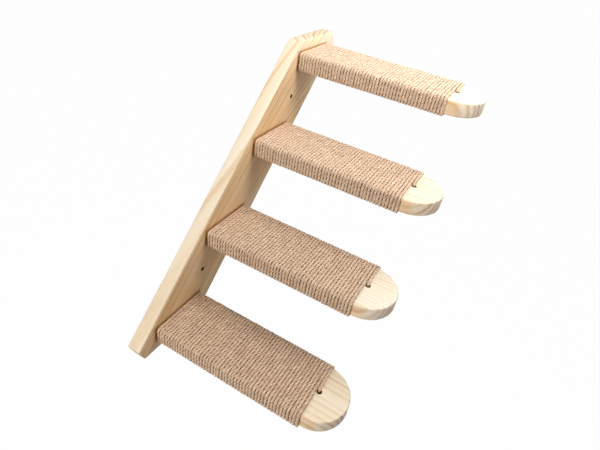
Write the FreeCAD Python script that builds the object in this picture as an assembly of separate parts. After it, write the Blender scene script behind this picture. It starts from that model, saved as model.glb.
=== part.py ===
import FreeCAD, Part
import math
import os

# Wall-mounted cat stairs. One pine board lies flat on the wall at a slant, and four level pine
# treads stand out square from its front face. Each tread is wound tightly with jute twine up to
# its bare, round nose. Hidden screws, driven through the board from the wall side, hold the treads.
# X runs sideways along the wall, the way the stairs climb. Y points into the wall. Z is up.
# The origin is on the wall plane, in the middle of the board's back face. All lengths are in mm.

# The flight
step_count = 4
step_rise = 100.0
step_run = 100.0

# The board on the wall
board_width = 95.0
board_thickness = 20.0
board_overhang = 27.0
board_corner_clip = 30.0
board_edge_chamfer = 1.5
wall_hole_diameter = 5.0

# A tread
tread_width = 80.0
tread_thickness = 20.0
tread_edge_chamfer = 2.0
bare_nose_length = 40.0

# The twine on a tread, with fewer and wider turns than the fifty of the real winding
wrap_length = 220.0
wrap_turns = 24
twine_thickness = 3.5
twine_clearance = 0.1
turn_gap = 0.8
turn_side_lean = 2.0
board_to_turn_gap = 0.4
tuck_hole_diameter = 7.0
tuck_hole_setback = 1.0
tuck_twine_width = 4.0

# A tread screw
screws_per_tread = 2
screw_spacing = 50.0
screw_length = 60.0
screw_diameter = 4.0
screw_head_diameter = 8.0
screw_tip_length = 5.0
screw_sink = 0.5
screw_clearance = 0.15
pilot_overrun = 2.0

# How far a cutting tool runs past the face that it cuts, and how far apart the gap is sampled
cut_overrun = 1.0
gap_sample_step = 1.5

UP = FreeCAD.Vector(0, 0, 1)
SIDEWAYS = FreeCAD.Vector(1, 0, 0)
TO_WALL = FreeCAD.Vector(0, 1, 0)
FROM_WALL = FreeCAD.Vector(0, -1, 0)
ORIGIN = FreeCAD.Vector(0, 0, 0)

# Places that follow from the sizes
slope = math.atan2(step_rise, step_run)
board_front = -board_thickness
half_width = tread_width / 2
half_thickness = tread_thickness / 2
tread_length = wrap_length + bare_nose_length
turn_pitch = (wrap_length - board_to_turn_gap + turn_gap) / wrap_turns
turn_width = turn_pitch - turn_gap
turn_crown_width = turn_width - 2 * turn_side_lean
first_turn = -board_to_turn_gap - turn_width / 2
front_tuck = -wrap_length - tuck_hole_setback
rear_tuck = first_turn
tuck_room = math.sqrt((tuck_hole_diameter / 2) ** 2 - (tuck_twine_width / 2) ** 2)
tuck_bend = tuck_room - twine_thickness / 2


def step_centres():
    """Centre of each tread's rear end in the wall plane, the lowest first."""
    middle = (step_count - 1) / 2
    return [FreeCAD.Vector((k - middle) * step_run, 0, (k - middle) * step_rise) for k in range(step_count)]


def flat_face(points):
    return Part.Face(Part.makePolygon(points + points[:1]))


def board_outline():
    """Corners of the board: a slanted strip, cut level at both ends, its sharp corners clipped."""
    half_level = board_width / 2 / math.sin(slope)
    cut = (step_count - 1) / 2 * step_rise + board_overhang
    cut_run = cut / math.tan(slope)
    along = FreeCAD.Vector(math.cos(slope), 0, math.sin(slope)) * board_corner_clip
    level = SIDEWAYS * board_corner_clip
    bottom_sharp = FreeCAD.Vector(-cut_run - half_level, 0, -cut)
    bottom_blunt = FreeCAD.Vector(-cut_run + half_level, 0, -cut)
    top_sharp = FreeCAD.Vector(cut_run + half_level, 0, cut)
    top_blunt = FreeCAD.Vector(cut_run - half_level, 0, cut)
    return [bottom_sharp + level, bottom_blunt, top_sharp - along, top_sharp - level, top_blunt,
            bottom_sharp + along]


def wall_board():
    """The slanted board, with its wall holes and the countersunk holes of the tread screws."""
    board = flat_face(board_outline()).extrude(FROM_WALL * board_thickness)
    board = board.makeChamfer(board_edge_chamfer, board.Edges)
    for place in wall_hole_places():
        start = place + TO_WALL * cut_overrun
        depth = board_thickness + 2 * cut_overrun
        board = board.cut(Part.makeCylinder(wall_hole_diameter / 2, depth, start, FROM_WALL))
    for place in screw_places():
        board = board.cut(screw_hole(place))
    return board


def wall_hole_places():
    """One hole in the middle of the first and the last gap between treads."""
    centres = step_centres()
    return [(centres[0] + centres[1]) / 2, (centres[-2] + centres[-1]) / 2]


def screw_places():
    """Where the screws' axes cross the wall plane."""
    middle = (screws_per_tread - 1) / 2
    offsets = [SIDEWAYS * (n - middle) * screw_spacing for n in range(screws_per_tread)]
    return [centre + offset for centre in step_centres() for offset in offsets]


def screw_head_height():
    """Height of a 90 degree countersunk head, from its rim to the shank."""
    return (screw_head_diameter - screw_diameter) / 2


def turned(profile, place):
    """Solid turned about the Y axis from (radius, distance from the wall) pairs, then moved to place."""
    points = [FreeCAD.Vector(radius, -distance, 0) for radius, distance in profile]
    solid = flat_face(points).revolve(ORIGIN, TO_WALL, 360)
    solid.translate(place)
    return solid


def tread_screw(place):
    """A countersunk wood screw, driven from the wall side into the end grain of a tread."""
    shank = screw_diameter / 2
    tip = screw_sink + screw_length
    profile = [(0, screw_sink),
               (screw_head_diameter / 2, screw_sink),
               (shank, screw_sink + screw_head_height()),
               (shank, tip - screw_tip_length),
               (0, tip)]
    return turned(profile, place)


def screw_hole(place):
    """Countersunk clearance hole through the board, wider than the screw all over."""
    rim = screw_head_diameter / 2 + screw_clearance
    shank = screw_diameter / 2 + screw_clearance
    profile = [(0, -cut_overrun),
               (rim, -cut_overrun),
               (rim, screw_sink),
               (shank, screw_sink + screw_head_height()),
               (shank, board_thickness + cut_overrun),
               (0, board_thickness + cut_overrun)]
    return turned(profile, place)


def pilot_hole(offset):
    """Hole for a screw in the rear end of a tread that stands at the origin."""
    depth = screw_sink + screw_length - board_thickness + pilot_overrun
    start = SIDEWAYS * offset + TO_WALL * cut_overrun
    return Part.makeCylinder(screw_diameter / 2 + screw_clearance, depth + cut_overrun, start, FROM_WALL)


def tuck_hole(distance):
    """Hole down through a tread, where an end of the twine goes in."""
    start = FreeCAD.Vector(0, distance, -half_thickness - cut_overrun)
    return Part.makeCylinder(tuck_hole_diameter / 2, tread_thickness + 2 * cut_overrun, start, UP)


def tread():
    """One tread with its rear end on the board: a plank with a half-round nose and eased edges."""
    shoulder = -(tread_length - half_width)
    rear_left = FreeCAD.Vector(-half_width, 0, -half_thickness)
    rear_right = FreeCAD.Vector(half_width, 0, -half_thickness)
    front_left = FreeCAD.Vector(-half_width, shoulder, -half_thickness)
    front_right = FreeCAD.Vector(half_width, shoulder, -half_thickness)
    nose_tip = FreeCAD.Vector(0, -tread_length, -half_thickness)
    outline = Part.Wire([Part.LineSegment(rear_left, front_left).toShape(),
                         Part.Arc(front_left, nose_tip, front_right).toShape(),
                         Part.LineSegment(front_right, rear_right).toShape(),
                         Part.LineSegment(rear_right, rear_left).toShape()])
    plank = Part.Face(outline).extrude(UP * tread_thickness)
    flat_edges = [edge for edge in plank.Edges
                  if edge.BoundBox.ZLength < tread_edge_chamfer and edge.BoundBox.YLength > tread_edge_chamfer]
    plank = plank.makeChamfer(tread_edge_chamfer, flat_edges)
    middle = (screws_per_tread - 1) / 2
    for n in range(screws_per_tread):
        plank = plank.cut(pilot_hole((n - middle) * screw_spacing))
    for distance in (front_tuck, rear_tuck):
        plank = plank.cut(tuck_hole(distance))
    return plank


def grown_outline(growth):
    """Corners of a tread's section, grown by a distance, from the underside's right end over the top."""
    reach = half_width + growth
    level = half_thickness + growth
    corner = tread_edge_chamfer + growth - growth * math.tan(math.pi / 8)
    return [(reach - corner, -level), (reach, corner - level), (reach, level - corner), (reach - corner, level),
            (corner - reach, level), (-reach, level - corner), (-reach, corner - level), (corner - reach, -level)]


def twine_section(on_wood, outside, distance, foot):
    """Four-sided section of the twine. Its foot, the width on the wood, is wider than its crown."""
    crown = foot * turn_crown_width / turn_width
    low = FreeCAD.Vector(on_wood[0], distance, on_wood[1])
    high = FreeCAD.Vector(outside[0], distance, outside[1])
    return [low + TO_WALL * (foot / 2), low + FROM_WALL * (foot / 2),
            high + FROM_WALL * (crown / 2), high + TO_WALL * (crown / 2)]


def tucked_sections(distance, up):
    """Sections where an end of the twine bends into its hole, on top for up 1 and below for up -1."""
    level = half_thickness + twine_clearance
    side = twine_thickness / 2
    mitre = twine_thickness * math.tan(math.pi / 8)
    stop = level - tuck_bend - tuck_twine_width
    places = [((side + tuck_bend, level), (side + tuck_bend - mitre, level + twine_thickness)),
              ((side, level - tuck_bend), (-side, level - tuck_bend + mitre)),
              ((side, stop), (-side, stop))]
    return [twine_section((low[0], up * low[1]), (high[0], up * high[1]), distance, tuck_twine_width)
            for low, high in places]


def wound_sections():
    """All sections of the twine on one tread, from the end tucked in below to the one on top.

    A turn goes up the right flank, over the top and down the left flank in one plane. It moves
    forward by one pitch on the left half of the underside.
    """
    on_wood = grown_outline(twine_clearance)
    outside = grown_outline(twine_clearance + twine_thickness)
    sections = tucked_sections(rear_tuck, -1)[::-1]
    shift_end = -tuck_hole_diameter / 2
    for turn in range(wrap_turns):
        distance = first_turn - turn * turn_pitch
        around = [twine_section(low, high, distance, turn_width) for low, high in zip(on_wood, outside)]
        shifted = twine_section((shift_end, on_wood[0][1]), (shift_end, outside[0][1]),
                                distance - turn_pitch, turn_width)
        sections += around + [shifted]
    sections_past_the_top = len(on_wood) // 2 + 1
    return sections[:-sections_past_the_top] + tucked_sections(front_tuck, 1)


def joined(sections):
    """Solid that joins each section to the next, closed by its two end sections.

    Each side between two sections is made as two triangles, so it is flat where the twine narrows
    or moves sideways too. Sides that end up in one plane are merged.
    """
    faces = [flat_face(sections[0]), flat_face(sections[-1])]
    for here, there in zip(sections, sections[1:]):
        for n in range(len(here)):
            after = (n + 1) % len(here)
            faces.append(flat_face([here[n], here[after], there[after]]))
            faces.append(flat_face([here[n], there[after], there[n]]))
    shell = Part.Shell(faces)
    shell.sewShape()
    return Part.Solid(shell).removeSplitter()


def twine_wrap():
    """The twine on one tread: one unbroken length, wound over the wood and tucked in at both ends."""
    sections = wound_sections()
    print("turns", wrap_turns, "pitch", round(turn_pitch, 2), "least gap", round(least_gap(sections), 2))
    return joined(sections)


def least_gap(sections):
    """Least distance from the twine's front foot edge to the rear foot edge of the turn that follows."""
    per_turn = len(grown_outline(0)) + 1
    rear = [corners[0] for corners in sections]
    front = [corners[1] for corners in sections]
    gaps = []
    for k in range(len(sections) - per_turn):
        count = math.ceil(front[k].distanceToPoint(front[k + 1]) / gap_sample_step)
        points = [front[k] + (front[k + 1] - front[k]) * (n / count) for n in range(count + 1)]
        for n in range(k + per_turn // 2, min(k + per_turn * 3 // 2, len(sections) - 1)):
            gaps += [point.distanceToLineSegment(rear[n], rear[n + 1]).Length for point in points]
    return min(gaps)


def placed(shape, centre):
    """Copy of a tread or its twine, stood on the board's front face."""
    copy = shape.copy()
    copy.translate(centre + TO_WALL * board_front)
    return copy


def export(name, shape):
    shape.exportStep(os.path.join("parts", name + ".step"))
    print(name, "valid", shape.isValid(), "solids", len(shape.Solids), "volume", round(shape.Volume))


def main():
    os.makedirs("parts", exist_ok=True)
    export("wall_board", wall_board())
    plank = tread()
    wrap = twine_wrap()
    for number, centre in enumerate(step_centres(), start=1):
        export(f"tread_{number}", placed(plank, centre))
        export(f"twine_wrap_{number}", placed(wrap, centre))
    export("tread_screws", Part.makeCompound([tread_screw(place) for place in screw_places()]))


main()
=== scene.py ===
import math

import bpy
import numpy as np
from mathutils import Matrix, Vector


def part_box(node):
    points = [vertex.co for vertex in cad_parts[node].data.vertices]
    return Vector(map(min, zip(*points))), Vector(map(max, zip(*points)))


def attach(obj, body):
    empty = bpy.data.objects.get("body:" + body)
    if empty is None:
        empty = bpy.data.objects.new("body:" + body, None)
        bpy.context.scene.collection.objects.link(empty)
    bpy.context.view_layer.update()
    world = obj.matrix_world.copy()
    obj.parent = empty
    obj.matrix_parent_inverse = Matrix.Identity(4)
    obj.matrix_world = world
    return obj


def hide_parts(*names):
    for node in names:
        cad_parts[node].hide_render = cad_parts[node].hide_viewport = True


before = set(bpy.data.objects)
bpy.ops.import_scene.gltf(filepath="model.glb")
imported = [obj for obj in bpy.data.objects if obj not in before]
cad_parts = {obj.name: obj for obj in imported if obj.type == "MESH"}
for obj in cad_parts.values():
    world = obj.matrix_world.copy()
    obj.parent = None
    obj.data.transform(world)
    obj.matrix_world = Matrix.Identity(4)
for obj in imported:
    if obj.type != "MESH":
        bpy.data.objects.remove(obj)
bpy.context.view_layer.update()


# Wall board
# A planed pine plank, 95 by 20 mm, that lies flat on the wall at a slant of 45 degrees. Its ends
# are sawn level, its two sharp corners are cut off and its edges are sanded. Two holes in its front
# take the wall screws. Eight holes, countersunk from the wall side, take the treads' screws.
board_width = 0.095
board_slope = math.radians(45)
board_rough_length = 0.7
board_corner_clip = 0.03
board_edge_round = 0.0018
edge_segments = 3
least_edge_angle = math.radians(20)
wall_hole_radius = 0.0025
wall_hole_break = 0.0008
screw_hole_radius = 0.00215
screw_head_hole_radius = 0.00415
screw_head_height = 0.002
screw_sink = 0.0005
screw_spacing = 0.05
hole_sides = 40
overrun = 0.001
hair = 0.0001

board_low, board_high = [Vector(corner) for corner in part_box("wall_board")]
board_thickness = board_high.y - board_low.y
board_middle = (board_low + board_high) / 2
tread_boxes = [[Vector(corner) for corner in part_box(f"tread_{number}")] for number in range(1, 5)]
tread_ends = [Vector(((low.x + high.x) / 2, high.y, (low.z + high.z) / 2))
              for low, high in tread_boxes]
tread_low, tread_high = tread_boxes[0]
tread_width = tread_high.x - tread_low.x
tread_length = tread_high.y - tread_low.y
tread_thickness = tread_high.z - tread_low.z


def only(piece):
    """Select one object and nothing else."""
    if bpy.context.mode != "OBJECT":
        bpy.ops.object.mode_set(mode="OBJECT")
    bpy.ops.object.select_all(action="DESELECT")
    piece.select_set(True)
    bpy.context.view_layer.objects.active = piece


def apply_place(piece):
    """Move a finished piece's place into its mesh."""
    only(piece)
    bpy.ops.object.transform_apply(location=True, rotation=True, scale=True)


def apply_modifier(piece, kind, **settings):
    """Add a modifier with its settings and apply it at once."""
    only(piece)
    modifier = piece.modifiers.new(kind.lower(), kind)
    for name, value in settings.items():
        setattr(modifier, name, value)
    bpy.ops.object.modifier_apply(modifier=modifier.name)


def saw(piece, place, outward):
    """Cut off what lies outward of a plane, and close the cut."""
    only(piece)
    bpy.ops.object.mode_set(mode="EDIT")
    bpy.ops.mesh.select_all(action="SELECT")
    bpy.ops.mesh.bisect(plane_co=place, plane_no=outward, use_fill=True, clear_outer=True)
    bpy.ops.object.mode_set(mode="OBJECT")


def cut_away(piece, cutter):
    """Take a cutter's shape out of a piece and delete the cutter."""
    apply_modifier(piece, "BOOLEAN", operation="DIFFERENCE", solver="EXACT", object=cutter)
    bpy.data.objects.remove(cutter)


def drill(piece, start, end, radius, end_radius=None):
    """Drill a round hole between two points, or a countersink where the end radius differs."""
    start, end = Vector(start), Vector(end)
    way = end - start
    only(piece)
    bpy.ops.mesh.primitive_cone_add(vertices=hole_sides, radius1=radius,
                                    radius2=end_radius or radius, depth=way.length,
                                    location=(start + end) / 2,
                                    rotation=way.to_track_quat("Z", "Y").to_euler())
    cut_away(piece, bpy.context.object)


def shade(piece, degrees=30):
    """Smooth shading, with edges sharper than the angle left sharp."""
    only(piece)
    bpy.ops.object.shade_smooth_by_angle(angle=math.radians(degrees))


bpy.ops.object.select_all(action="DESELECT")
bpy.ops.mesh.primitive_cube_add(size=1, location=(0, board_middle.y, 0),
                                rotation=(0, -board_slope, 0),
                                scale=(board_rough_length, board_thickness, board_width))
board = bpy.context.object
board.name = "pine_wall_board"
apply_place(board)
along_board = Vector((math.cos(board_slope), 0, math.sin(board_slope)))
clip_outward = Vector((-math.cos(board_slope / 2), 0, -math.sin(board_slope / 2)))
clip_distance = board_corner_clip * math.cos(board_slope / 2)
sharp_corner_x = board_high.z / math.tan(board_slope) + board_width / 2 / math.sin(board_slope)
for end in (-1, 1):
    level = Vector((0, board_middle.y, end * board_high.z))
    sharp_corner = Vector((end * sharp_corner_x, board_middle.y, end * board_high.z))
    saw(board, level, (0, 0, end))
    saw(board, sharp_corner + clip_outward * end * clip_distance, clip_outward * -end)
apply_modifier(board, "BEVEL", width=board_edge_round, segments=edge_segments, limit_method="ANGLE",
               angle_limit=least_edge_angle)
wall_hole_places = [(tread_ends[first] + tread_ends[second]) / 2
                    for first, second in ((0, 1), (2, 3))]
for x, _, z in wall_hole_places:
    drill(board, (x, overrun, z), (x, board_low.y - overrun, z), wall_hole_radius)
    drill(board, (x, board_low.y - overrun, z), (x, board_low.y + wall_hole_break, z),
          wall_hole_radius + wall_hole_break + overrun, wall_hole_radius)
screw_places = [Vector((end.x + side * screw_spacing / 2, 0, end.z))
                for end in tread_ends for side in (-1, 1)]
for x, _, z in screw_places:
    drill(board, (x, overrun, z), (x, -screw_sink, z), screw_head_hole_radius)
    drill(board, (x, -screw_sink, z), (x, -screw_sink - screw_head_height, z),
          screw_head_hole_radius, screw_hole_radius)
    drill(board, (x, 0, z), (x, board_low.y - overrun, z), screw_hole_radius)
shade(board)


def fill(tree, socket, value):
    """Link another node's output to an input, or set the input's value."""
    if isinstance(value, bpy.types.NodeSocket):
        tree.links.new(value, socket)
    else:
        socket.default_value = value


def add_node(tree, kind, inputs=None, **settings):
    """Add a shader node, set it up and fill its inputs with values or links."""
    node = tree.nodes.new(kind)
    for name, value in settings.items():
        setattr(node, name, value)
    for socket, value in (inputs or {}).items():
        fill(tree, node.inputs[socket], value)
    return node


def mathed(tree, operation, *values, clamp=False):
    """One sum on numbers or sockets."""
    node = add_node(tree, "ShaderNodeMath", dict(enumerate(values)), operation=operation,
                    use_clamp=clamp)
    return node.outputs[0]


def vector_mathed(tree, operation, *values):
    """One sum on vectors. A dot product or a length comes out as a number."""
    node = add_node(tree, "ShaderNodeVectorMath", dict(enumerate(values)), operation=operation)
    return node.outputs["Value" if operation in ("DOT_PRODUCT", "LENGTH") else "Vector"]


def scaled(tree, vector, amounts):
    """A vector with each coordinate multiplied."""
    return vector_mathed(tree, "MULTIPLY", vector, amounts)


def mixed(tree, kind, factor, first, second):
    """Two colours mixed."""
    node = add_node(tree, "ShaderNodeMix", data_type="RGBA", blend_type=kind)
    for socket, value in ((0, factor), (6, first), (7, second)):
        fill(tree, node.inputs[socket], value)
    return node.outputs[2]


def noise(tree, vector, detail=2.0, roughness=0.5, output="Fac"):
    """A noise of one cell for each unit of its vector."""
    return add_node(tree, "ShaderNodeTexNoise", {"Vector": vector, "Scale": 1, "Detail": detail,
                                                 "Roughness": roughness}).outputs[output]


def ramped(tree, value, stops):
    """A colour ramp's colour at a value. Each stop is a position with a colour or a grey level."""
    node = add_node(tree, "ShaderNodeValToRGB", {0: value})
    elements = node.color_ramp.elements
    while len(elements) < len(stops):
        elements.new(1)
    for element, (position, colour) in zip(elements, stops):
        element.position = position
        element.color = colour if isinstance(colour, tuple) else (colour, colour, colour, 1)
    return node.outputs[0]


def object_place(tree):
    """The place on the object, in its own coordinates."""
    return add_node(tree, "ShaderNodeTexCoord").outputs["Object"]


def add_bump(tree, shader, height, strength, distance):
    """Let a height raise and lower a shader's surface."""
    bump = add_node(tree, "ShaderNodeBump",
                    {"Height": height, "Strength": strength, "Distance": distance})
    tree.links.new(bump.outputs[0], shader.inputs["Normal"])


def new_group(name, inputs, outputs):
    """Make an empty shader node group and return it with its input and output nodes."""
    tree = bpy.data.node_groups.new(name, "ShaderNodeTree")
    for direction, sockets in (("INPUT", inputs), ("OUTPUT", outputs)):
        for socket, kind in sockets.items():
            tree.interface.new_socket(socket, in_out=direction, socket_type="NodeSocket" + kind)
    return tree, tree.nodes.new("NodeGroupInput"), tree.nodes.new("NodeGroupOutput")


def new_material(name, inputs):
    """Make a material, set its shader's inputs and return it with its node tree and its shader."""
    material = bpy.data.materials.new(name)
    material.use_nodes = True
    tree = material.node_tree
    shader = tree.nodes["Principled BSDF"]
    for socket, value in inputs.items():
        shader.inputs[socket].default_value = value
    return material, tree, shader


# The grain is solid: rings around a pith that runs along the plank, so the faces show stripes and
# the sawn and rounded ends show the ends of the same rings. Each ring goes from pale early wood to
# dark late wood, and the heart of the tree is browner. The noises' cells are counted for each metre
# across, along and again across the plank.
bend_cells = (9, 3.6, 9)
bend_detail = 1.5
bend_reach = (0.016, 0, 0.016)
ripple_cells = (60, 7, 60)
ripple_share = 0.6
ring_profile = [(0.0, 0.45), (0.16, 0.12), (0.4, 0.15), (0.65, 0.5), (0.85, 0.95), (1.0, 0.45)]
weakest_ring = 0.12
ring_spread = 0.9
fibre_cells = (900, 14, 900)
fibre_levels = [(0.3, 0.9), (0.7, 1.05)]
fibre_share = 0.6
tone_cells = (22, 3, 22)
tone_tints = [(0.3, (1.0, 0.93, 0.82, 1)), (0.7, (1.0, 1.0, 1.0, 1))]
fleck_cells = (1500, 110, 1500)
fleck_levels = [(0.66, 0.0), (0.74, 1.0)]
fleck_tint = (0.55, 0.36, 0.2, 1)
fleck_share = 0.25
heart_wander = 0.004
heart_start = 0.0015
heart_full = 0.0055
heart_early_tint = (1.04, 1.03, 1.02, 1)
heart_late_tint = (0.86, 0.78, 0.68, 1)
end_levels = [(0.35, 0.0), (0.95, 1.0)]
end_early_tint = (0.92, 0.89, 0.9, 1)
early_wood = (0.94, 0.825, 0.66, 1)
late_wood = (0.76, 0.54, 0.31, 1)
pale_wood = (0.96, 0.9, 0.8, 1)
end_wood = (0.42, 0.3, 0.22, 1)
fibre_height = 0.6
late_height = 0.5
wood_least_roughness = 0.5
wood_roughness_spread = 0.2
wood_gloss = 0.3
wood_bump_strength = 0.25
wood_bump_height = 0.0002

grain, plank, finish = new_group(
    "pine_grain",
    {"Place": "Vector", "Along": "Vector", "Ring Width": "Float", "Heart Depth": "Float",
     "Early Wood": "Color", "Late Wood": "Color", "Heart Wood": "Color", "End Wood": "Color"},
    {"Color": "Color", "Height": "Float", "Roughness": "Float"})
place = plank.outputs["Place"]
bend = noise(grain, scaled(grain, place, bend_cells), bend_detail, output="Color")
bend = vector_mathed(grain, "SUBTRACT", bend, (0.5, 0.5, 0.5))
bent = vector_mathed(grain, "ADD", place, scaled(grain, bend, bend_reach))
pith_distance = vector_mathed(grain, "LENGTH", scaled(grain, bent, (1, 0, 1)))
age = mathed(grain, "DIVIDE", pith_distance, plank.outputs["Ring Width"])
ripple = noise(grain, scaled(grain, place, ripple_cells))
age = mathed(grain, "MULTIPLY_ADD", ripple, ripple_share, age)
ring = ramped(grain, mathed(grain, "FRACT", age), ring_profile)
year = add_node(grain, "ShaderNodeTexWhiteNoise", {"W": mathed(grain, "FLOOR", age)},
                noise_dimensions="1D")
strength = mathed(grain, "MULTIPLY_ADD", year.outputs["Value"], ring_spread, weakest_ring)
late = mathed(grain, "MULTIPLY", ring, strength)
fibres = noise(grain, scaled(grain, place, fibre_cells), 3)
tone = noise(grain, scaled(grain, place, tone_cells))
flecks = ramped(grain, noise(grain, scaled(grain, place, fleck_cells), 1), fleck_levels)
colour = mixed(grain, "MIX", late, plank.outputs["Early Wood"], plank.outputs["Late Wood"])
heart_depth = mathed(grain, "MULTIPLY_ADD", tone, heart_wander, plank.outputs["Heart Depth"])
heart_share = add_node(grain, "ShaderNodeMapRange",
                       {"Value": heart_depth, "From Min": heart_start, "From Max": heart_full},
                       interpolation_type="SMOOTHSTEP").outputs[0]
heart_streaks = mixed(grain, "MIX", late, heart_early_tint, heart_late_tint)
heart_tint = mixed(grain, "MULTIPLY", 1.0, plank.outputs["Heart Wood"], heart_streaks)
colour = mixed(grain, "MULTIPLY", heart_share, colour, heart_tint)
colour = mixed(grain, "MULTIPLY", fibre_share, colour, ramped(grain, fibres, fibre_levels))
colour = mixed(grain, "MULTIPLY", 1.0, colour, ramped(grain, tone, tone_tints))
flecks = mathed(grain, "MULTIPLY", flecks, fleck_share)
colour = mixed(grain, "MULTIPLY", flecks, colour, fleck_tint)
normal = add_node(grain, "ShaderNodeNewGeometry").outputs["Normal"]
facing = vector_mathed(grain, "DOT_PRODUCT", normal, plank.outputs["Along"])
end_share = ramped(grain, mathed(grain, "ABSOLUTE", facing), end_levels)
end_tint = mixed(grain, "MIX", late, end_early_tint, plank.outputs["End Wood"])
colour = mixed(grain, "MULTIPLY", end_share, colour, end_tint)
height = mathed(grain, "MULTIPLY", late, late_height)
height = mathed(grain, "MULTIPLY_ADD", fibres, fibre_height, height)
roughness = mathed(grain, "MULTIPLY_ADD", fibres, wood_roughness_spread, wood_least_roughness)
for socket, value in (("Color", colour), ("Height", height), ("Roughness", roughness)):
    grain.links.new(value, finish.inputs[socket])


def pine(name, pith, turn, along, ring_width, heart_wood, heart_limits, paleness=0.0):
    """Bare planed pine. The pith's place and turn put the rings where this plank was sawn from. The
    browner heart wood is bounded by planes, each given by a point and the way into the heart. The
    paleness goes from 0 to 1 and is that of the plank as a whole."""
    material, tree, shader = new_material(name, {"Specular IOR Level": wood_gloss})
    bare_place = object_place(tree)
    place = add_node(tree, "ShaderNodeMapping",
                     {"Vector": bare_place, "Location": pith, "Rotation": turn},
                     vector_type="TEXTURE").outputs[0]
    heart_depth = heart_full
    for point, inward in heart_limits:
        inside = vector_mathed(tree, "DOT_PRODUCT", bare_place, inward)
        inside = mathed(tree, "SUBTRACT", inside, Vector(inward).dot(point))
        heart_depth = mathed(tree, "MINIMUM", heart_depth, inside)
    wood = add_node(tree, "ShaderNodeGroup",
                    {"Place": place, "Along": along, "Ring Width": ring_width,
                     "Early Wood": Vector(early_wood).lerp(pale_wood, paleness),
                     "Late Wood": Vector(late_wood).lerp(pale_wood, paleness / 2),
                     "Heart Depth": heart_depth, "Heart Wood": heart_wood, "End Wood": end_wood},
                    node_tree=grain)
    tree.links.new(wood.outputs["Color"], shader.inputs["Base Color"])
    tree.links.new(wood.outputs["Roughness"], shader.inputs["Roughness"])
    add_bump(tree, shader, wood.outputs["Height"], wood_bump_strength, wood_bump_height)
    return material


def finish_piece(piece, material, node):
    """Give a piece its material and its place in the frame."""
    piece.data.materials.clear()
    piece.data.materials.append(material)
    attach(piece, "root")
    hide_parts(node)


board_ring_width = 0.0062
board_grain_tilt = 0.18
board_grain_shift = 0.17
board_pith_offset = Vector((0.04, -0.029, -0.04))
# The heart wood is kept to the board's front face and below its top, so its browner colour there is
# partly painted shade, for the warm shade on that face.
board_heart_and_shade_wood = (0.88, 0.76, 0.6, 1)
board_heart_reach = 0.24
board_heart_slope = 0.03

board_grain = (along_board + Vector((0, -board_grain_tilt, 0))).normalized()
board_pith = board_middle + board_pith_offset + board_grain * board_grain_shift
across_grain = board_grain.cross((0, 1, 0)).normalized()
board_axes = Matrix((across_grain, board_grain, across_grain.cross(board_grain))).transposed()
upper_left = along_board.cross((0, 1, 0))
front_edge = board_middle + upper_left * board_width / 2 + Vector((0, -board_thickness / 2, 0))
front_limit = (front_edge, (Vector((0, -1, 0)) - upper_left).normalized())
top_limit = (along_board * board_heart_reach, along_board * -board_heart_slope)
board_wood = pine("pine_of_board", board_pith, board_axes.to_euler(), along_board, board_ring_width,
                  board_heart_and_shade_wood, (front_limit, top_limit))
finish_piece(board, board_wood, "wall_board")

# Painted shade: a brown line on the board's front around each tread, fading out over some
# millimetres, stands in for the shade where the twine meets the board. The treads stand on a
# diagonal at even distances, so the nearest tread's middle is found by rounding. The line lies as
# far from the tread as the twine is thick.
line_distance = 0.0037
line_fade = 0.01
crevice_shade_tints = [(0.0, (0.58, 0.45, 0.33, 1)), (0.07, (0.72, 0.61, 0.49, 1)),
              (0.15, (0.94, 0.9, 0.85, 1)), (0.6, (1.0, 1.0, 1.0, 1))]

tree = board_wood.node_tree
place = add_node(tree, "ShaderNodeSeparateXYZ", {0: object_place(tree)}).outputs
tread_step = tread_ends[1].x - tread_ends[0].x
on_diagonal = mathed(tree, "MULTIPLY", mathed(tree, "ADD", place["X"], place["Z"]), 0.5)
steps_up = mathed(tree, "FLOOR", mathed(tree, "DIVIDE", on_diagonal, tread_step))
nearest = mathed(tree, "MULTIPLY_ADD", steps_up, tread_step, tread_step / 2)
gap = mathed(tree, "SUBTRACT", place["Y"], board_low.y)
for axis, tread_size in (("X", tread_width), ("Z", tread_thickness)):
    beyond = mathed(tree, "ABSOLUTE", mathed(tree, "SUBTRACT", place[axis], nearest))
    beyond = mathed(tree, "SUBTRACT", beyond, tread_size / 2 + line_distance)
    gap = mathed(tree, "MAXIMUM", gap, beyond)
# Painted shade: the line's tints darken the board's colour around each tread.
painted_crevice_shade = ramped(tree, mathed(tree, "DIVIDE", gap, line_fade, clamp=True), crevice_shade_tints)
base_colour = tree.nodes["Principled BSDF"].inputs["Base Color"]
tree.links.new(mixed(tree, "MULTIPLY", 1.0, base_colour.links[0].from_socket, painted_crevice_shade), base_colour)

# The walls of the drilled holes are rough end grain, a little darker than the faces, and their
# colour is made far darker still with painted shade.
torn_cells = (1800, 600, 1800)
hole_shade_tints = [(0.3, (0.05, 0.03, 0.018, 1)), (0.7, (0.16, 0.095, 0.05, 1))]
torn_bump_strength = 0.5
torn_bump_height = 0.0003
hole_wall_facing = 0.9

hole_shade_lining, tree, shader = new_material("pine_in_holes_painted_shade", {"Roughness": 0.9})
torn = noise(tree, scaled(tree, object_place(tree), torn_cells), 3, 0.6)
tree.links.new(ramped(tree, torn, hole_shade_tints), shader.inputs["Base Color"])
add_bump(tree, shader, torn, torn_bump_strength, torn_bump_height)


def line_holes(piece, axis, places, radius):
    """Give the walls of round holes along an axis the material of the lining."""
    piece.data.materials.append(hole_shade_lining)
    axis = Vector(axis)
    for face in piece.data.polygons:
        if abs(face.normal.dot(axis)) > hole_wall_facing:
            continue
        offsets = [face.center - place for place in places]
        if any((offset - axis * offset.dot(axis)).length < radius for offset in offsets):
            face.material_index = 1


line_holes(board, (0, 1, 0), wall_hole_places + screw_places, screw_head_hole_radius + hair)


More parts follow.
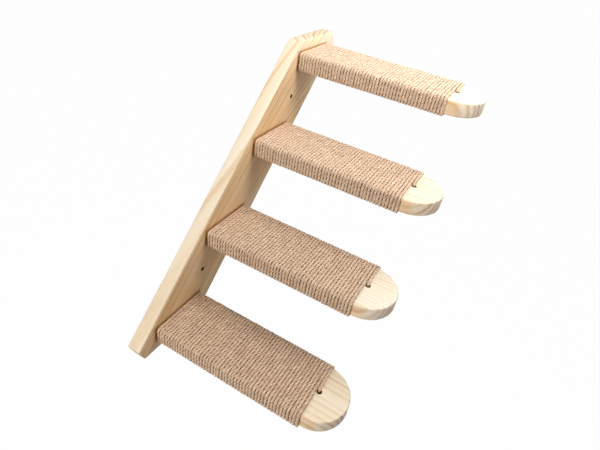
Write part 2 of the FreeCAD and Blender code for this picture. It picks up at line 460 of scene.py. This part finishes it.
# Treads
# Four pine planks, 80 by 20 mm, that stand out square from the board. The front end is cut to a
# half round and all edges but those at the board are sanded. A hole near the nose and one at the
# board take the ends of the twine, and two holes in the rear end take the screws.
tread_edge_round = 0.0022
nose_segments = 28
tuck_hole_radius = 0.0035
front_tuck = 0.221
rear_tuck = 0.0046
pilot_hole_radius = 0.00215
pilot_hole_depth = 0.0425
tread_piths = ((-0.075, 0, -0.022), (-0.079, 0, 0.014), (-0.073, 0, 0.03), (-0.082, 0, -0.016))
tread_turns = ((1.1, 0, -0.6), (-0.9, 0, 0.9), (0.7, 0, 0.6), (-0.8, 0, -0.7))
tread_ring_widths = (0.0071, 0.0062, 0.0076, 0.0066)
tread_paleness = (0.0, 0.7, 0.4, 0.0)
tread_heart_start = 0.036
tread_heart_wood = (0.95, 0.85, 0.73, 1)

bpy.ops.object.select_all(action="DESELECT")
bpy.ops.mesh.primitive_cube_add(size=1, location=(0, -tread_length / 2, 0),
                                scale=(tread_width, tread_length, tread_thickness))
blank = bpy.context.object
apply_place(blank)


def select_edges(piece, chosen):
    """Select the edges whose two ends fit the rule, and enter edit mode."""
    only(piece)
    bpy.ops.object.mode_set(mode="EDIT")
    bpy.ops.mesh.select_all(action="DESELECT")
    bpy.ops.mesh.select_mode(type="EDGE")
    bpy.ops.object.mode_set(mode="OBJECT")
    points = piece.data.vertices
    for edge in piece.data.edges:
        edge.select = chosen(points[edge.vertices[0]].co, points[edge.vertices[1]].co)
    bpy.ops.object.mode_set(mode="EDIT")


front = -tread_length + overrun
select_edges(blank, lambda a, b: a.y < front and b.y < front and abs(a.z - b.z) > overrun)
bpy.ops.mesh.bevel(offset=tread_width / 2, segments=nose_segments, clamp_overlap=True)
bpy.ops.mesh.select_all(action="SELECT")
bpy.ops.mesh.remove_doubles(threshold=hair / 2)
bpy.ops.mesh.normals_make_consistent(inside=False)
select_edges(blank, lambda a, b: abs(a.z - b.z) < overrun and min(a.y, b.y) < -overrun
             and not (abs(a.x) + overrun < tread_width / 2 and abs(b.x + a.x) < overrun
                      and a.y > front))
bpy.ops.mesh.bevel(offset=tread_edge_round, segments=edge_segments, clamp_overlap=False)
bpy.ops.object.mode_set(mode="OBJECT")
reach = tread_thickness / 2 + overrun
for distance in (front_tuck, rear_tuck):
    drill(blank, (0, -distance, -reach), (0, -distance, reach), tuck_hole_radius)
for side in (-1, 1):
    x = side * screw_spacing / 2
    drill(blank, (x, overrun, 0), (x, -pilot_hole_depth, 0), pilot_hole_radius)
shade(blank)

for number, (end, pith, turn, ring_width, paleness) in enumerate(
        zip(tread_ends, tread_piths, tread_turns, tread_ring_widths, tread_paleness), start=1):
    tread = blank.copy()
    tread.data = blank.data.copy()
    tread.name = f"pine_tread_{number}"
    bpy.context.collection.objects.link(tread)
    tread.location = end
    apply_place(tread)
    left_limit = (end - Vector((tread_heart_start, 0, 0)), (-1, 0, 0))
    wood = pine(f"pine_of_tread_{number}", end + Vector(pith),
                [math.radians(angle) for angle in turn], (0, 1, 0), ring_width, tread_heart_wood,
                (left_limit,), paleness)
    finish_piece(tread, wood, f"tread_{number}")
    tuck_places = [end - Vector((0, distance, 0)) for distance in (front_tuck, rear_tuck)]
    line_holes(tread, (0, 0, 1), tuck_places, tuck_hole_radius + hair)
bpy.data.objects.remove(blank)


# Tread screws
# Eight countersunk wood screws of zinc-plated steel, 4 by 60 mm, with a cross recess. They are
# driven from the wall side through the board into the end grain of the treads, two to a tread.
screw_length = 0.06
screw_radius = 0.002
screw_tip_length = 0.005
screw_tip_steps = ((0.8, 0.3), (0.2, 0.05))
screw_head_radius = 0.004
screw_rim_height = 0.0002
screw_rim_taper = 0.985
screw_turn_step = 23
recess_depth = 0.0016
recess_width = 0.0009
recess_span = 0.0042
head_sides = 32
zinc_cells = (700, 700, 700)
zinc_tints = [(0.3, (0.48, 0.47, 0.44, 1)), (0.7, (0.66, 0.66, 0.65, 1))]
zinc_least_roughness = 0.2
zinc_roughness_spread = 0.3

tip_start = -screw_sink - screw_length + screw_tip_length
head_start = -screw_sink - screw_head_height
bpy.ops.object.select_all(action="DESELECT")
bpy.ops.mesh.primitive_cylinder_add(vertices=head_sides, radius=screw_radius, depth=screw_length,
                                    location=(0, -screw_sink - screw_length / 2, 0),
                                    rotation=(math.radians(90), 0, 0))
screw = bpy.context.object
apply_place(screw)
saw(screw, (0, tip_start, 0), (0, -1, 0))
saw(screw, (0, head_start, 0), (0, 1, 0))


def select_faces(piece, chosen):
    """Select the faces whose centre fits the rule, and enter edit mode."""
    only(piece)
    bpy.ops.object.mode_set(mode="EDIT")
    bpy.ops.mesh.select_all(action="DESELECT")
    bpy.ops.mesh.select_mode(type="FACE")
    bpy.ops.object.mode_set(mode="OBJECT")
    for face in piece.data.polygons:
        face.select = chosen(face.center)
    bpy.ops.object.mode_set(mode="EDIT")


def extrude_along(distance, scale):
    """Extrude the selected face along Y and scale it about the screw's axis."""
    bpy.ops.mesh.extrude_region_move(TRANSFORM_OT_translate={"value": (0, distance, 0)})
    bpy.ops.transform.resize(value=(scale, 1, scale))


select_faces(screw, lambda centre: centre.y < tip_start + hair)
for share, narrowing in screw_tip_steps:
    extrude_along(-screw_tip_length * share, narrowing)
select_faces(screw, lambda centre: centre.y > head_start - hair)
extrude_along(screw_head_height - screw_rim_height, screw_head_radius / screw_radius)
extrude_along(screw_rim_height, screw_rim_taper)
bpy.ops.object.mode_set(mode="OBJECT")
for turn in (0, 90):
    bpy.ops.object.select_all(action="DESELECT")
    bpy.ops.mesh.primitive_cube_add(size=1, location=(0, -screw_sink, 0),
                                    rotation=(0, math.radians(turn), 0),
                                    scale=(recess_span, recess_depth * 2, recess_width))
    cut_away(screw, bpy.context.object)
shade(screw, 35)

zinc, tree, shader = new_material("zinc_plated_steel", {"Metallic": 1.0})
cloud = noise(tree, scaled(tree, object_place(tree), zinc_cells), 3)
tree.links.new(ramped(tree, cloud, zinc_tints), shader.inputs["Base Color"])
tree.links.new(mathed(tree, "MULTIPLY_ADD", cloud, zinc_roughness_spread, zinc_least_roughness),
               shader.inputs["Roughness"])

screw_copies = []
for index, place in enumerate(screw_places):
    copy = screw.copy()
    copy.data = screw.data.copy()
    bpy.context.collection.objects.link(copy)
    copy.location = place
    copy.rotation_euler = (0, math.radians(screw_turn_step * index), 0)
    apply_place(copy)
    screw_copies.append(copy)
only(screw_copies[0])
for copy in screw_copies:
    copy.select_set(True)
bpy.ops.object.join()
screws = bpy.context.object
screws.name = "tread_screws_zinc"
bpy.data.objects.remove(screw)
finish_piece(screws, zinc, "tread_screws")


# Twine windings
# On each tread one length of three-ply jute twine, about 4.5 mm thick and pulled flat to 3.6 mm on
# the wood, in 50 touching turns. It starts in the hole below the tread at the board, moves forward
# by its own width under the tread at each turn, and ends in the hole on top near the nose.
twine_half_width = 0.00225
twine_half_height = 0.0018
twine_clearance = 0.0001
turn_gap = 0.00004
turn_count = 50
first_turn = 0.0042
last_turn = 0.2197
shift_share = 0.45
rear_tail = 0.004
front_tail = 0.2203
tail_depth = 0.006
tail_bend = 0.0026
tail_offset = 0.0007
ring_step = 0.00136
lay_length = 0.021
ply_shares = (1.0, 0.89, 0.67, 0.89)
ply_count = 3
flatness = 0.8

# How unevenly the twine lies, with the distance along it in which each fault changes.
wander, wander_length = 0.00022, 0.02
lift, lift_length = 0.00025, 0.013
twist_fault, twist_fault_length = 1.1, 0.02
slow_twist_fault, slow_twist_length = 2.5, 0.09
fullness_fault, fullness_length = 0.07, 0.006

# Painted shade: how far the colour darkens in the creases between turns and plies and at the ends
# in their holes. The upper windings show less contrast in the photograph, so there the painted
# shade and the bundles' tints are weaker, as painted light where strong light washes the creases
# out.
groove_depth = 0.8
crease_depth = 0.6
hole_darkness = 0.88
hole_shade_depth = 1.2 * twine_half_height
twine_contrast = (1.0, 0.94, 0.66, 0.5)

reach_x = tread_width / 2 + twine_clearance + twine_half_height
reach_z = tread_thickness / 2 + twine_clearance + twine_half_height
corner = tread_edge_round + twine_clearance + twine_half_height
inner_x = reach_x - corner
inner_z = reach_z - corner
turn_pitch = (last_turn - first_turn) / (turn_count - 1)
quarter = corner * math.pi / 2

# A turn as knots: how far round, where the corner's centre is, and which way is out of the wood.
knots = np.cumsum([0] + 2 * [quarter, 2 * inner_z, quarter, 2 * inner_x])
knot_x = inner_x * np.array([1, 1, 1, 1, -1, -1, -1, -1, 1])
knot_z = inner_z * np.array([-1, -1, 1, 1, 1, 1, -1, -1, -1])
knot_angle = np.radians([-90, 0, 0, 90, 90, 180, 180, 270, 270])
turn_length = knots[-1]
last_corner = knots[3]
bottom_start, bottom_end = knots[7:]


def smooth_step(values):
    """From 0 to 1 with a soft start and end."""
    values = np.clip(values, 0, 1)
    return values * values * (3 - 2 * values)


def turns_route():
    """Centre line of the turns, from below right to the last top corner, and the way out."""
    total = (turn_count - 1) * turn_length + last_corner
    travelled = np.arange(0, total, ring_step)
    turn = np.floor(travelled / turn_length)
    part = travelled - turn * turn_length
    angle = np.interp(part, knots, knot_angle)
    out = np.stack([np.cos(angle), np.zeros(len(part)), np.sin(angle)], axis=1)
    shift = smooth_step((part - bottom_start) / (shift_share * (bottom_end - bottom_start)))
    distance = first_turn + (turn + shift) * turn_pitch
    x, z = np.interp(part, knots, knot_x), np.interp(part, knots, knot_z)
    return np.stack([x, -distance, z], axis=1) + out * corner, out


def tail_route(from_distance, hole_distance, up):
    """Centre line of an end of the twine, from its corner to the stop inside its hole."""
    bend_x = tail_offset + tail_bend
    run = inner_x - bend_x
    curve = tail_bend * math.pi / 2
    travelled = np.arange(ring_step, run + curve + tail_depth, ring_step)
    along_run = np.clip(travelled, 0, run)
    angle = np.clip((travelled - run) / tail_bend, 0, math.pi / 2)
    down = np.clip(travelled - run - curve, 0, None)
    x = inner_x - along_run - tail_bend * np.sin(angle)
    z = reach_z - tail_bend * (1 - np.cos(angle)) - down
    shift = smooth_step(2 * along_run / run - 1)
    distance = from_distance + (hole_distance - from_distance) * shift
    out = np.stack([-np.sin(angle), np.zeros(len(x)), np.cos(angle) * up], axis=1)
    return np.stack([x, -distance, z * up], axis=1), out


def depth_in_hole(places):
    """From 0 on the tread's face to 1 well down its hole."""
    return smooth_step((reach_z - np.abs(places[:, 2])) / hole_shade_depth)


def soft_random(rng, travelled, spacing):
    """Random values between -1 and 1 that change smoothly along the twine."""
    count = int(travelled[-1] / spacing) + 2
    return np.interp(travelled, np.arange(count) * spacing, rng.uniform(-1, 1, count))


def squashed(values):
    """Cosines or sines of a round section, made to fill the corners of a squarer one."""
    return np.sign(values) * np.abs(values) ** flatness


def twine_mesh(name, rng):
    """One winding as a closed mesh of twisted plies, with its own coordinates for the material."""
    start_place, start_out = tail_route(first_turn, rear_tail, -1)
    turns_place, turns_out = turns_route()
    end_place, end_out = tail_route(last_turn, front_tail, 1)
    centre = np.concatenate([start_place[::-1], turns_place, end_place])
    out = np.concatenate([start_out[::-1], turns_out, end_out])
    travelled = np.arange(len(centre)) * ring_step
    side = np.array([0.0, 1.0, 0.0])
    centre = centre + np.outer(soft_random(rng, travelled, wander_length) * wander, side)
    centre = centre + out * (np.abs(soft_random(rng, travelled, lift_length)) * lift)[:, None]

    shares = np.array(ply_shares * ply_count)
    sides = len(shares)
    around = np.arange(sides) * 2 * math.pi / sides
    twist = travelled * 2 * math.pi / lay_length
    twist = twist + twist_fault * soft_random(rng, travelled, twist_fault_length)
    twist = twist + slow_twist_fault * soft_random(rng, travelled, slow_twist_length)
    fullness = 1 + fullness_fault * soft_random(rng, travelled, fullness_length)
    angle = around[None, :] - twist[:, None]
    radius = shares[None, :] * fullness[:, None]
    squeezed = (turn_pitch - turn_gap) / 2
    across = np.clip(radius * squashed(np.cos(angle)) * twine_half_width, -squeezed, squeezed)
    outward = np.maximum(radius * squashed(np.sin(angle)) * twine_half_height, -twine_half_height)
    points = centre[:, None, :] + across[:, :, None] * side + outward[:, :, None] * out[:, None, :]

    rings = len(centre)
    ring_starts = np.arange(rings - 1)[:, None] * sides
    first = (ring_starts + np.arange(sides)[None, :]).ravel()
    after = (ring_starts + (np.arange(sides) + 1)[None, :] % sides).ravel()
    faces = np.stack([first, first + sides, after + sides, after], axis=1).tolist()
    faces.append(list(range(sides)))
    faces.append(list(range((rings - 1) * sides, rings * sides))[::-1])
    mesh = bpy.data.meshes.new(name)
    mesh.from_pydata(points.reshape(-1, 3).tolist(), [], faces)

    fibre = np.stack([np.broadcast_to(travelled[:, None], radius.shape),
                      np.broadcast_to(np.cos(around) * twine_half_width, radius.shape),
                      np.broadcast_to(np.sin(around) * twine_half_width, radius.shape)], axis=2)
    mesh.attributes.new("fibre", "FLOAT_VECTOR", "POINT").data.foreach_set("vector", fibre.ravel())

    # Painted shade: the openness sets how far the colour darkens in the grooves, the ply creases
    # and down the holes.
    last_one = centre[:, 1] < -(last_turn - turn_pitch / 2)
    bare_side = np.where(last_one[:, None], -across / twine_half_width, 0)
    standing = np.clip(np.maximum(outward / twine_half_height, bare_side), 0, 1) * groove_depth
    crest = (shares - min(ply_shares)) / (max(ply_shares) - min(ply_shares))
    light = np.clip(standing + (1 - groove_depth), 0, 1) * (1 - crease_depth * (1 - crest[None, :]))
    in_hole = np.zeros(len(centre))
    in_hole[:len(start_place)] = depth_in_hole(start_place[::-1])
    in_hole[-len(end_place):] = depth_in_hole(end_place)
    light = light * (1 - hole_darkness * in_hole[:, None])
    mesh.attributes.new("openness", "FLOAT", "POINT").data.foreach_set("value", light.ravel())
    return mesh


# The jute's noises, in cells for each metre along and across the twine, and their tints.
strand_cells = (160, 2600, 2600)
strand_tints = [(0.28, (0.5, 0.34, 0.24, 1)), (0.45, (0.79, 0.6, 0.45, 1)),
                (0.6, (0.9, 0.74, 0.58, 1)), (0.75, (0.96, 0.86, 0.73, 1))]
blotch_cells = (35, 500, 500)
blotch_tints = [(0.3, (0.85, 0.76, 0.68, 1)), (0.7, (1.07, 1.06, 1.03, 1))]
bundle_cells = (240, 900, 900)
bundle_tints = [(0.3, (0.68, 0.6, 0.53, 1)), (0.5, (0.95, 0.93, 0.91, 1)),
                (0.7, (1.1, 1.08, 1.05, 1))]
crease_shade_tints = [(0.15, (0.46, 0.34, 0.26, 1)), (0.5, (0.93, 0.9, 0.87, 1)),
                (0.85, (1.05, 1.05, 1.05, 1))]
jute_finish = {"Roughness": 0.85, "Specular IOR Level": 0.15, "Sheen Weight": 0.15}
jute_bump_strength = 0.6
jute_bump_height = 0.0005
twine_seed_step = 7.3


def jute(name, seed, contrast):
    """Jute: coarse pale and brown fibres along the plies, with painted shade between them."""
    material, tree, shader = new_material(name, jute_finish)
    fibre = add_node(tree, "ShaderNodeAttribute", attribute_name="fibre").outputs["Vector"]
    openness = add_node(tree, "ShaderNodeAttribute", attribute_name="openness").outputs["Fac"]
    fibre = vector_mathed(tree, "ADD", fibre, (seed, 0, 0))
    strands = noise(tree, scaled(tree, fibre, strand_cells), 3, 0.6)
    blotches = noise(tree, scaled(tree, fibre, blotch_cells))
    bundles = noise(tree, scaled(tree, fibre, bundle_cells), 2, 0.6)
    colour = ramped(tree, strands, strand_tints)
    colour = mixed(tree, "MULTIPLY", 1.0, colour, ramped(tree, blotches, blotch_tints))
    colour = mixed(tree, "MULTIPLY", contrast, colour, ramped(tree, bundles, bundle_tints))
    # Painted shade from the openness, weakened by the contrast.
    colour = mixed(tree, "MULTIPLY", contrast, colour, ramped(tree, openness, crease_shade_tints))
    tree.links.new(colour, shader.inputs["Base Color"])
    add_bump(tree, shader, strands, jute_bump_strength, jute_bump_height)
    return material


for number, (end, contrast) in enumerate(zip(tread_ends, twine_contrast), start=1):
    mesh = twine_mesh(f"jute_winding_{number}", np.random.default_rng(number))
    winding = bpy.data.objects.new(mesh.name, mesh)
    bpy.context.collection.objects.link(winding)
    winding.location = end
    apply_place(winding)
    bpy.ops.object.shade_smooth()
    twine = jute(f"jute_of_tread_{number}", number * twine_seed_step, contrast)
    finish_piece(winding, twine, f"twine_wrap_{number}")


# Studio
# A white room: the floor lies well below the stairs, the background is white to the camera, and
# five soft lamps stand in front, above, close over the upper treads, on the right and far on the
# left.
floor_drop = 0.75
floor_size = 60.0
floor_glow = 0.985
paper_finish = {"Base Color": (0.8, 0.8, 0.8, 1), "Roughness": 0.9}
room_level = 0.25
upper_middle = (0.1, -0.13, 0.1)
upper_treads = (0.15, -0.1, 0.15)
stairs_middle = (0, -0.13, 0)


def seen_rays(tree):
    """1 for a ray that the camera sees, straight, in a reflection or through glass."""
    rays = add_node(tree, "ShaderNodeLightPath").outputs
    return mathed(tree, "MAXIMUM", rays["Is Camera Ray"],
                  mathed(tree, "MAXIMUM", rays["Is Glossy Ray"], rays["Is Transmission Ray"]))


bpy.ops.object.select_all(action="DESELECT")
bpy.ops.mesh.primitive_plane_add(size=floor_size, location=(0, 0, board_low.z - floor_drop))
floor = bpy.context.object
floor.name = "floor"
paper, tree, shader = new_material("white_floor", paper_finish)
glow = add_node(tree, "ShaderNodeEmission", {"Color": (1, 1, 1, 1), "Strength": 1.0})
part_glow = add_node(tree, "ShaderNodeMixShader",
                     {0: floor_glow, 1: shader.outputs[0], 2: glow.outputs[0]})
blend = add_node(tree, "ShaderNodeMixShader",
                 {0: seen_rays(tree), 1: shader.outputs[0], 2: part_glow.outputs[0]})
tree.links.new(blend.outputs[0], tree.nodes["Material Output"].inputs["Surface"])
floor.data.materials.append(paper)

world = bpy.data.worlds.new("white_room")
bpy.context.scene.world = world
world.use_nodes = True
tree = world.node_tree
background = tree.nodes["Background"]
background.inputs["Color"].default_value = (1, 1, 1, 1)
tree.links.new(mathed(tree, "MULTIPLY_ADD", seen_rays(tree), 1 - room_level, room_level),
               background.inputs["Strength"])


def lamp(name, place, target, size, power):
    """A square soft lamp that looks at a point."""
    light = bpy.data.lights.new(name, "AREA")
    light.size = size
    light.energy = power
    holder = bpy.data.objects.new(name, light)
    bpy.context.collection.objects.link(holder)
    holder.location = place
    holder.rotation_euler = (Vector(target) - Vector(place)).to_track_quat("-Z", "Y").to_euler()


lamp("front_lamp", (0.1, -0.66, 0.63), upper_middle, 0.26, 2.4)
lamp("top_lamp", (0.357, -0.13, 0.805), upper_middle, 0.5, 2.5)
lamp("near_lamp", (0.0625, -0.2516, 0.453), upper_treads, 0.25, 0.6)
lamp("right_lamp", (0.638, -0.382, 0.355), upper_treads, 0.3, 1.3)
lamp("left_lamp", (-1.679, 0.32, 0.466), stairs_middle, 0.63, 17.3)


# Camera
# The photograph was taken from the left, in front and above, with the camera rolled a little.
camera_place = (-0.46206, -0.32029, 0.33967)
camera_angles = (54.334, -8.010, -61.129)
camera_lens = 26.515
camera_sensor = 36
camera_shift = (-0.0134, -0.0149)
camera_nearest = 0.01

camera = bpy.data.cameras.new("photo_camera")
camera.lens = camera_lens
camera.sensor_width = camera_sensor
camera.shift_x, camera.shift_y = camera_shift
camera.clip_start = camera_nearest
holder = bpy.data.objects.new("photo_camera", camera)
bpy.context.collection.objects.link(holder)
holder.location = camera_place
holder.rotation_euler = [math.radians(angle) for angle in camera_angles]
bpy.context.scene.camera = holder
bpy.context.scene.view_settings.view_transform = "Standard"
